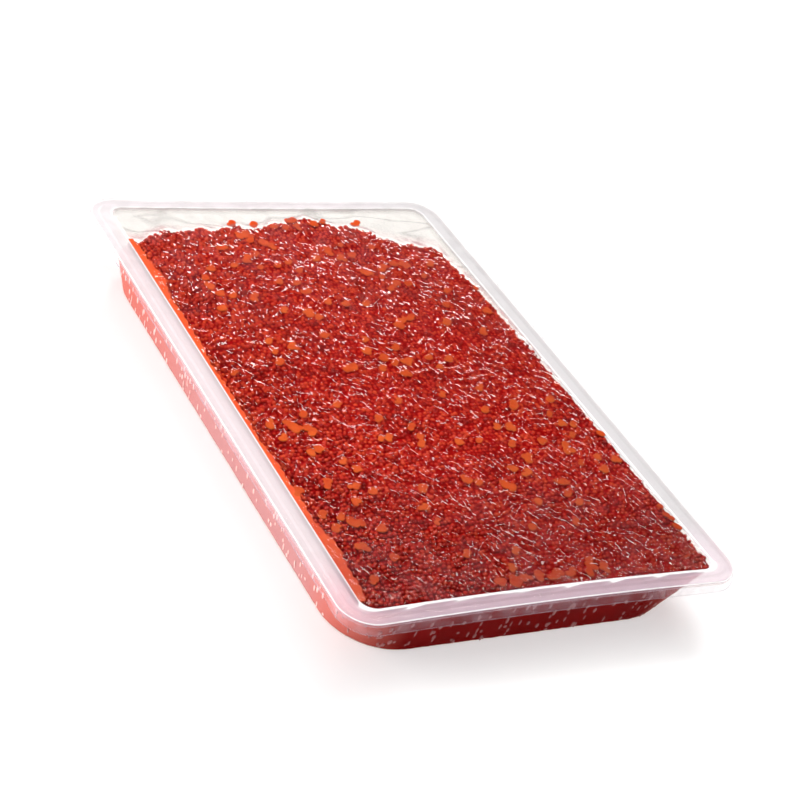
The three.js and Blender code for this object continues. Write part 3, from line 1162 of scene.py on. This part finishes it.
pressed_gel = gel(
    "pressed_pearl_gel", (0.57, 0.046, 0.004), (0.71, 0.1, 0.01), 0.3, roughness=0.4, gloss=0.1
)
grow(
    patches,
    ball_tree("scatter_patches", 12, 6),
    radius=PATCH_RADIUS,
    flatness=PATCH_FLATNESS,
    seed=SEED + 1,
    skin=pressed_gel,
)
for point in patches.data.vertices:
    point.co.z = min(point.co.z, PATCH_TOP + LEVEL_STEP * (point.index % LEVELS))
patches.data.set_sharp_from_angle(angle=math.radians(12))
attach(patches, BODY)
print("pressed pearls:", len(patch_spots), "faces:", faces_of(patches))

# %% [markdown]
# Along the left edge of the mouth the pearls are pressed together into one orange strip. It is flat
# on top, its inner edge is scalloped like the pearls, and it is widest towards both ends. Its gel
# is brighter than the patches', partly as painted light shining in through the wall.

# %% The strip along the left edge
STRIP_STEP = 0.3 * MM
STRIP_STATIONS = np.array([-79, -76, -60, -40, -12, 22, 48, 72, 88, 94.5]) * MM
STRIP_WIDTHS = np.array([1.6, 2.4, 2.9, 2.2, 1.2, 1.1, 1.7, 3.0, 3.3, 2.2]) * MM
STRIP_DEPTH = 0.5 * MM
SCALLOP = 2.1 * MM
SCALLOP_DEPTH = 0.5 * MM


def strip_width(x):
    lump = np.abs(np.sin(x / SCALLOP * math.pi / 2 + 1.3 * np.sin(x / (7 * MM))))
    drift = 0.5 + 0.3 * np.sin(x / (5.3 * MM)) + 0.2 * np.sin(x / (2.9 * MM) + 2.0)
    width = np.interp(x, STRIP_STATIONS, STRIP_WIDTHS)
    return width * (0.55 + 0.7 * drift) + SCALLOP_DEPTH * lump


def strip_points():
    xs = np.arange(STRIP_STATIONS[0], STRIP_STATIONS[-1], STRIP_STEP)
    outer = np.full(len(xs), -MOUTH_SIDE - 0.3 * MM)
    inner = outer + strip_width(xs)
    section = (
        (outer, PATCH_TOP - STRIP_DEPTH),
        (outer, PATCH_TOP),
        (inner - 0.2 * MM, PATCH_TOP),
        (inner, PATCH_TOP - 0.12 * MM),
        (inner, PATCH_TOP - STRIP_DEPTH),
    )
    rows = [np.column_stack([xs, y, np.full(len(xs), z)]) for y, z in section]
    count, sides = len(xs), len(section)
    faces = []
    for side in range(sides):
        low, high = side * count, (side + 1) % sides * count
        faces += [(low + i, high + i, high + i + 1, low + i + 1) for i in range(count - 1)]
    faces.append([side * count for side in range(sides)][::-1])
    faces.append([side * count + count - 1 for side in range(sides)])
    return bend_ends(np.concatenate(rows)), faces


strip = object_from("pressed_edge", *strip_points(), crease=30)
# Brighter gel than the patches: partly painted light through the wall.
strip.data.materials.append(gel(
    "pressed_edge_gel", (0.78, 0.06, 0.012), (0.92, 0.12, 0.022), 0.5, roughness=0.4, gloss=0.2
))
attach(strip, BODY)
print("strip faces:", faces_of(strip))

# %% [markdown]
# ## Air pockets against the wall
#
# Where pearls don't quite touch the plastic, small pockets of air show as pale flecks, drawn out
# from top to bottom. A tree scatters them over the core's wall, inside the thickness of the
# plastic. Towards the full end, whose wall lies in shade, they are painted dark as painted shade.

# %% A tree that scatters flecks
def fleck_tree():
    tree, inputs, output = new_tree(
        "scatter_flecks", Density=30000.0, Fleck_Width=0.35 * MM, Seed=SEED, Skin="Material"
    )
    scattered = add_node(
        tree,
        "GeometryNodeDistributePointsOnFaces",
        Mesh=inputs["Geometry"],
        Density=inputs["Density"],
        Seed=inputs["Seed"],
    )
    wide, long = chance(tree, 0.6, 1.5, 5), chance(tree, 1.2, 3.4)
    upright = add_node(
        tree,
        "FunctionNodeAlignRotationToVector",
        {"axis": "Y", "pivot_axis": "Z"},
        Rotation=scattered.outputs["Rotation"],
        Vector=(0.0, 0.0, 1.0),
    )
    placed = add_node(
        tree,
        "GeometryNodeInstanceOnPoints",
        Points=scattered.outputs["Points"],
        Instance=small_ball(tree, 8, 5, inputs["Fleck Width"]),
        Rotation=upright.outputs[0],
        Scale=vector(tree, X=wide, Y=long, Z=0.3),
    )
    return end_tree(tree, inputs, output, placed.outputs[0])


# %% Scatter the flecks
FLECK_ROWS = 8
FLECK_PALE = (1.0, 0.62, 0.6)
# Painted shade: the colour of the flecks at the full end.
FLECK_PAINTED_SHADE = (0.3, 0.03, 0.035)


def band_outside_core():
    """A band just outside the core's wall, from the base edge to below the rim."""
    rings = []
    for z in np.linspace(1.2 * MM, TRAY_TOP - 3.5 * MM, FLECK_ROWS + 1):
        side, end, corner = wall_line(z)
        rings.append(ring(side - INTO_WALL, end - INTO_WALL, corner + INTO_WALL, z))
    points, faces = wall_of(rings)
    filled = points[:, 2] < FILL_TOP - slump(points[:, 0], points[:, 1]) - 2 * MM
    return points, faces[filled[faces].all(1)]


fleck_skin, skin_tree = new_material("air_pocket")
# Painted shade: the flecks turn dark towards the full end.
shaded_end = spread(skin_tree, along(skin_tree, "X"), 76 * MM, 92 * MM, 0.0, 0.9)
fleck_colour = mix_colours(skin_tree, shaded_end, FLECK_PALE, FLECK_PAINTED_SHADE)
fleck_shader = add_node(
    skin_tree, "ShaderNodeBsdfPrincipled", Base_Color=fleck_colour, Roughness=0.35
)
finish(fleck_skin, fleck_shader)
flecks = object_from("air_pockets", *band_outside_core())
grow(
    flecks, fleck_tree(), density=58000.0, fleck_width=0.42 * MM, seed=SEED + 2, skin=fleck_skin
)
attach(flecks, BODY)
print("flecks faces:", faces_of(flecks))

# %% [markdown]
# ## The film
#
# The film is welded to the rim and drawn down by the pearls: it touches their tops and dips between
# them. A tree pulls a fine grid down wherever it lies far from a contact, and gives it a thickness.
# Over the empty end nothing holds the film, so it only sags and wrinkles a little.

# %% A tree that drapes the film over contacts
FILM_REST = TRAY_TOP + 0.14 * MM
FILM_SHEET = 0.07 * MM
FILM_STEP = 0.79 * MM


def drape_tree():
    tree, inputs, output = new_tree(
        "drape_film", Contacts="Object", Dip=0.15 * MM, Reach=1.15 * MM, Thickness=0.07 * MM,
        Skin="Material",
    )
    contacts = add_node(tree, "GeometryNodeObjectInfo", Object=inputs["Contacts"])
    near = add_node(tree, "GeometryNodeProximity", {"target_element": "POINTS"})
    connect(tree, near.inputs[0], contacts.outputs["Geometry"])
    away = spread(tree, near.outputs["Distance"], 0.35 * MM, inputs["Reach"])
    calm = spread(tree, cloud(tree, 11 * MM, place=position(tree)), 0.35, 0.6, 0.35, 1.0)
    dip = times(tree, away, inputs["Dip"], calm, marked(tree, "loose"), -1.0)
    draped = moved(tree, inputs["Geometry"], vector(tree, Z=dip))
    sheet = add_node(
        tree, "GeometryNodeExtrudeMesh", Mesh=draped, Individual=False, Offset_Scale=1.0,
        Offset=vector(tree, Z=inputs["Thickness"]),
    )
    back = add_node(tree, "GeometryNodeFlipFaces", Mesh=draped)
    both = tree.nodes.new("GeometryNodeJoinGeometry")
    connect(tree, both.inputs[0], sheet.outputs["Mesh"])
    connect(tree, both.inputs[0], back.outputs[0])
    joined = add_node(
        tree, "GeometryNodeMergeByDistance", Geometry=both.outputs[0], Distance=0.001 * MM
    )
    return end_tree(tree, inputs, output, joined.outputs[0])


# %% Build the film's sheet
FILM_HALF = RIM_HALF + 0.1 * MM
FILM_HALF_WIDTH = RIM_HALF_WIDTH + 0.1 * MM


def film_points():
    u, v, columns, rows = grid(FILM_HALF, FILM_HALF_WIDTH, FILM_STEP)
    x, y = rounded(u, v, FILM_HALF, FILM_HALF_WIDTH, RIM_CORNER)
    inset = np.minimum(FILM_HALF - np.abs(u), FILM_HALF_WIDTH - np.abs(v))
    lip = np.clip((LIP_WIDTH - inset) / (LIP_STEP * 2), 0, 1)
    below = slump(x, y)
    empty = np.clip(below / (6 * MM), 0, 1)
    inner = np.clip((inset - RIM_SIDE) / (6 * MM), 0, 1)
    ridges = np.sin(x / (3.1 * MM) + 0.6 * np.sin(y / (9 * MM))) * np.sin(y / (23 * MM) + 1.2)
    z = FILM_REST - LIP_STEP * 0.85 * lip - empty * inner * (0.35 + 0.2 * ridges) * MM
    points = bend_ends(np.column_stack([x, y, z]))
    over_mouth = inside_mouth(points[:, 0], points[:, 1], 0.3 * MM)
    marks = {
        "loose": over_mouth * (1 - empty) * (0.15 + 0.85 * away_from_patches(points)),
        "fogged": over_mouth * np.clip(below / (0.3 * MM), 0, 1) * (1 - empty),
        "slack": over_mouth * np.clip(below / (1.5 * MM), 0, 1),
        "welded": 1.0 - over_mouth,
    }
    return points, grid_faces(columns, rows), marks


def away_from_patches(points):
    """Nought where a pressed pearl holds the film flat, one a little way off."""
    patch_tree = KDTree(len(patch_spots))
    for index, (x, y, _) in enumerate(patch_spots):
        patch_tree.insert((x, y, 0), index)
    patch_tree.balance()
    away = np.array([patch_tree.find((x, y, 0))[2] for x, y, _ in points])
    return np.clip((away - 1.0 * MM) / (0.7 * MM), 0, 1)


# %% [markdown]
# ### The finish of the film
#
# The film is clear, with three kinds of haze: a faint haze towards both ends, grey creases where
# it is slack over the empty end, which darken the folds as painted shade, and fog just inside the
# crest. Where it clings to the pearls it is covered in tiny wavelets, which break the lamps'
# reflections into short glints. It shines most at the far end, which the camera sees at the lowest
# angle.

# %% Haze, gloss and wavelets
NEAR_END_HAZE = (30 * MM, 95 * MM, 0.0, 0.022)
FAR_END_HAZE = (-90 * MM, 0.0, 0.035, 0.0)
FOLD_SIZE = 9 * MM
FOLD_STRETCH = (1.0, 0.35, 1.0)
# Painted shade: grey haze that darkens the creases of the slack film.
FOLD_HAZE = (0.0, 0.05, 0.3, 0.13)
FOG = (0.42, 0.6, 0.0, 0.3)
BARE_HAZE = (0.46, 0.43, 0.41)
PINK_HAZE = (0.85, 0.36, 0.38)
WELD_GLOSS = 0.25
GLOSS_ALONG = (-70 * MM, 60 * MM, 1.6, 0.45)
FILM_GLOSS = (1.0, 0.9, 0.85)
WAVELET_LENGTH = 2.0 * MM
WAVELET_WIDTH = 1.05 * MM
WAVELET_HEIGHT = 1.1
WAVELET_TURN = math.radians(53)
CALM_PATCHES = (0.38, 0.56, 0.4, 1.0)
LIVELY = (-60 * MM, 50 * MM, 1.05, 0.9)


def film_body(tree):
    """How much haze shows on the film, and its colour: pink over gel, grey elsewhere."""
    x = along(tree, "X")
    end_haze = maths(tree, "ADD", spread(tree, x, *NEAR_END_HAZE), spread(tree, x, *FAR_END_HAZE))
    end_haze = times(tree, end_haze, spread(tree, cloud(tree, 7 * MM, 3.0), 0.4, 0.62))
    stretched = add_node(tree, "ShaderNodeMapping", Vector=place_of(tree), Scale=FOLD_STRETCH)
    folds = cloud(tree, FOLD_SIZE, 1.0, 0.4, stretched.outputs[0])
    folds = maths(tree, "ABSOLUTE", maths(tree, "SUBTRACT", folds, 0.5))
    folds = times(tree, spread(tree, folds, *FOLD_HAZE), mark_on(tree, "slack"))
    fog = times(tree, spread(tree, cloud(tree, 6 * MM), *FOG), mark_on(tree, "fogged"))
    haze = maths(tree, "ADD", maths(tree, "ADD", end_haze, folds), fog)
    return haze, mix_colours(tree, mark_on(tree, "loose"), BARE_HAZE, PINK_HAZE)


def film_shine(tree):
    """The film's share of gloss: little on the rim, where it is welded to the tray."""
    loose = spread(tree, mark_on(tree, "welded"), 0.0, 1.0, 1.0, WELD_GLOSS)
    return times(tree, loose, spread(tree, along(tree, "X"), *GLOSS_ALONG))


def clinging(tree):
    """Wavelets where the film clings to pearls, calm patches between, and a flat rim."""
    turned = add_node(
        tree,
        "ShaderNodeMapping",
        Vector=place_of(tree),
        Rotation=(0, 0, -WAVELET_TURN),
        Scale=(1 / WAVELET_LENGTH, 1 / WAVELET_WIDTH, 1 / WAVELET_WIDTH),
    )
    waves = times(tree, cloud(tree, 1.0, 0.0, place=turned.outputs[0]), WAVELET_HEIGHT)
    calm = spread(tree, cloud(tree, 12 * MM), *CALM_PATCHES)
    calm = times(tree, calm, spread(tree, along(tree, "X"), *LIVELY), mark_on(tree, "loose"))
    height = maths(tree, "ADD", times(tree, waves, calm), cloud(tree, 18 * MM))
    node = add_node(tree, "ShaderNodeBump", Strength=1.0, Distance=1.0 * MM, Height=height)
    return node.outputs[0]


# %% Drape the film
film_grid, film_faces, film_marks = film_points()
film = object_from("film_lid", film_grid, film_faces)
mark(film, **film_marks)
contact_spots = np.concatenate([pearl_spots[pearl_drop < 0.5 * MM], patch_spots])
contact_spots[:, 2] = FILM_REST
contacts = object_from("film_contacts", contact_spots, [])
film_plastic = see_through(
    "clear_lid_film",
    film_body,
    clinging,
    roughness=0.05,
    glass=1.28,
    gloss=FILM_GLOSS,
    shine_share=film_shine,
)
grow(
    film,
    drape_tree(),
    contacts=contacts,
    dip=0.07 * MM,
    reach=1.1 * MM,
    thickness=FILM_SHEET,
    skin=film_plastic,
)
film.data.shade_smooth()
bpy.data.objects.remove(contacts)
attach(film, BODY)
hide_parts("film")
print("film faces:", faces_of(film))

# %% [markdown]
# ## The film's skirt
#
# Outside the weld the film was cut with a toothed blade and folded down over the rim's edge. The
# skirt is a thin strip that follows the rim. A tree lifts every second point of its lower edge,
# which makes the teeth.

# %% A tree that cuts teeth into the hem
SKIRT_DROP = 3.6 * MM
SIDE_DROP = 2.0 * MM
SKIRT_FLARE = 0.45 * MM
TOOTH_WIDTH = 0.8 * MM
TOOTH_DEPTH = 0.5 * MM
SKIRT_SHEET = 0.08 * MM
HEM_WHITE = 0.8
SKIRT_PARTS = (0, 0.25, 0.5, 0.75, 0.92, 1.0)


def hem_tree():
    tree, inputs, output = new_tree(
        "cut_hem", Tooth_Depth=0.5 * MM, Waviness=0.15 * MM, Skin="Material"
    )
    wave = maths(tree, "SUBTRACT", cloud(tree, 7 * MM, place=position(tree)), 0.6)
    wave = times(tree, wave, marked(tree, "hang"), inputs["Waviness"])
    rise = vector(tree, Z=times(tree, marked(tree, "tooth"), inputs["Tooth Depth"]))
    offset = add_node(tree, "ShaderNodeVectorMath", {"operation": "ADD"})
    connect(tree, offset.inputs[0], scaled(tree, normal_of(tree), wave))
    connect(tree, offset.inputs[1], rise)
    return end_tree(tree, inputs, output, moved(tree, inputs["Geometry"], offset.outputs[0]))


def outline_at(outset, spacing):
    """Points evenly spaced round the rim's edge, moved outwards by a distance."""
    a, b, corner = RIM_HALF + outset, RIM_HALF_WIDTH + outset, RIM_CORNER + outset
    straight_x, straight_y, arc = 2 * (a - corner), 2 * (b - corner), math.pi / 2 * corner
    total = 2 * (straight_x + straight_y) + 4 * arc
    count = 2 * int(round(total / spacing / 2))
    centres = ((a - corner, b - corner), (corner - a, b - corner))
    centres += ((corner - a, corner - b), (a - corner, corner - b))
    points = []
    for step in range(count):
        rest = total * step / count
        for index, (cx, cy) in enumerate(centres):
            straight = straight_y if index % 2 else straight_x
            turned = math.pi / 2 * index + min(rest / corner, math.pi / 2)
            x, y = cx + corner * math.cos(turned), cy + corner * math.sin(turned)
            rest -= arc
            if rest < 0:
                points.append((x, y))
                break
            if rest < straight:
                points.append((x - rest * math.sin(turned), y + rest * math.cos(turned)))
                break
            rest -= straight
    return np.array(points)


# %% Build the skirt
def skirt_points():
    top = FILM_REST - LIP_STEP
    base = outline_at(0.12 * MM, TOOTH_WIDTH / 2)
    at_ends = np.clip((np.abs(base[:, 0]) - RIM_HALF + 14 * MM) / (13 * MM), 0, 1)
    depth = SIDE_DROP + (SKIRT_DROP - SIDE_DROP) * at_ends
    before, after = np.roll(base, 1, 0), np.roll(base, -1, 0)
    edge = after - before
    edge /= np.linalg.norm(edge, axis=1)[:, None]
    outward = np.column_stack([edge[:, 1], -edge[:, 0]])
    last = len(SKIRT_PARTS) - 1
    down = list(range(last + 1))
    rows, hang = [], []
    for sheet, order in ((SKIRT_SHEET, down), (0.0, down[::-1])):
        for row in order:
            part = SKIRT_PARTS[row]
            out = SKIRT_FLARE * part**1.5 + sheet
            rows.append(np.column_stack([base + outward * out, top - depth * part]))
            hang.append(row / last)
    count, levels = len(base), len(rows)
    index = np.arange(count)
    faces = [
        band((level + 1) % levels * count + index, level * count + index)
        for level in range(levels)
    ]
    hang = np.repeat(hang, count)
    tooth = np.tile(index % 2, levels) * (hang == 1)
    marks = {"hang": hang, "tooth": tooth, "whitening": HEM_WHITE * (hang == 1)}
    return bend_ends(np.concatenate(rows)), np.concatenate(faces), marks


skirt_grid, skirt_faces, skirt_marks = skirt_points()
skirt = object_from("film_skirt", skirt_grid, skirt_faces)
mark(skirt, **skirt_marks)
skirt_plastic = see_through(
    "hazy_film_skirt",
    whitened((0.88, 0.70, 0.80), (0.03, 0.12, 6 * MM), 1.0),
    bumps(2.5 * MM, 0.4 * MM, 0.3),
    roughness=0.15,
    glass=1.16,
)
grow(skirt, hem_tree(), tooth_depth=TOOTH_DEPTH, waviness=0.5 * MM, skin=skirt_plastic)
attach(skirt, BODY)
print("skirt faces:", faces_of(skirt))

# %% [markdown]
# ## Hand over
#
# The sizes of the finished model are printed beside those of the plain solids, to compare them.

# %% Sizes
seen_low, seen_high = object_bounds()
sizes = {
    "cad": [[float(n) for n in cad_low], [float(n) for n in cad_high]],
    "scene": [[float(n) for n in seen_low], [float(n) for n in seen_high]],
}
print("in mm:", [[round(n / MM, 2) for n in corner] for pair in sizes.values() for corner in pair])
